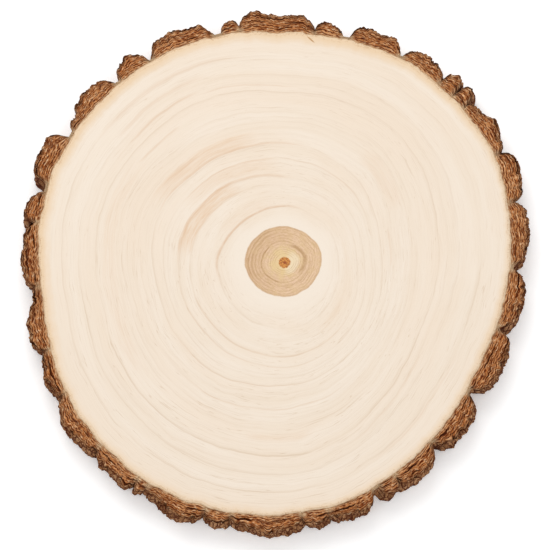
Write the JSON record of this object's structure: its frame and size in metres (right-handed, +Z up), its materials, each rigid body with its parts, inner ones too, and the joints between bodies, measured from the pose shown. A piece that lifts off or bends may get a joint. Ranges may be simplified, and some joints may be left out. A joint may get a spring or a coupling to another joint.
{
  "type": "wood slice",
  "caption": "Round flat slice sawn across a pale-wooded trunk, with an off-centre pith, faint rings and a rim of rough plated bark.",
  "frame": {"origin": "centre of the slice's bounding box, on the underside that it rests on", "axes": "+Z up, square to the two sawn faces; +X and +Y lie in the underside, with the pith a little towards +X and +Y of the middle"},
  "size_m": [0.2252, 0.2366, 0.016],
  "materials": {
    "wood": "bare, finely sanded pale wood, matt",
    "bark": "rough, dry, flaky bark"
  },
  "bodies": {
    "root": {"wood_slice": "wood"}
  },
  "joints": []
}
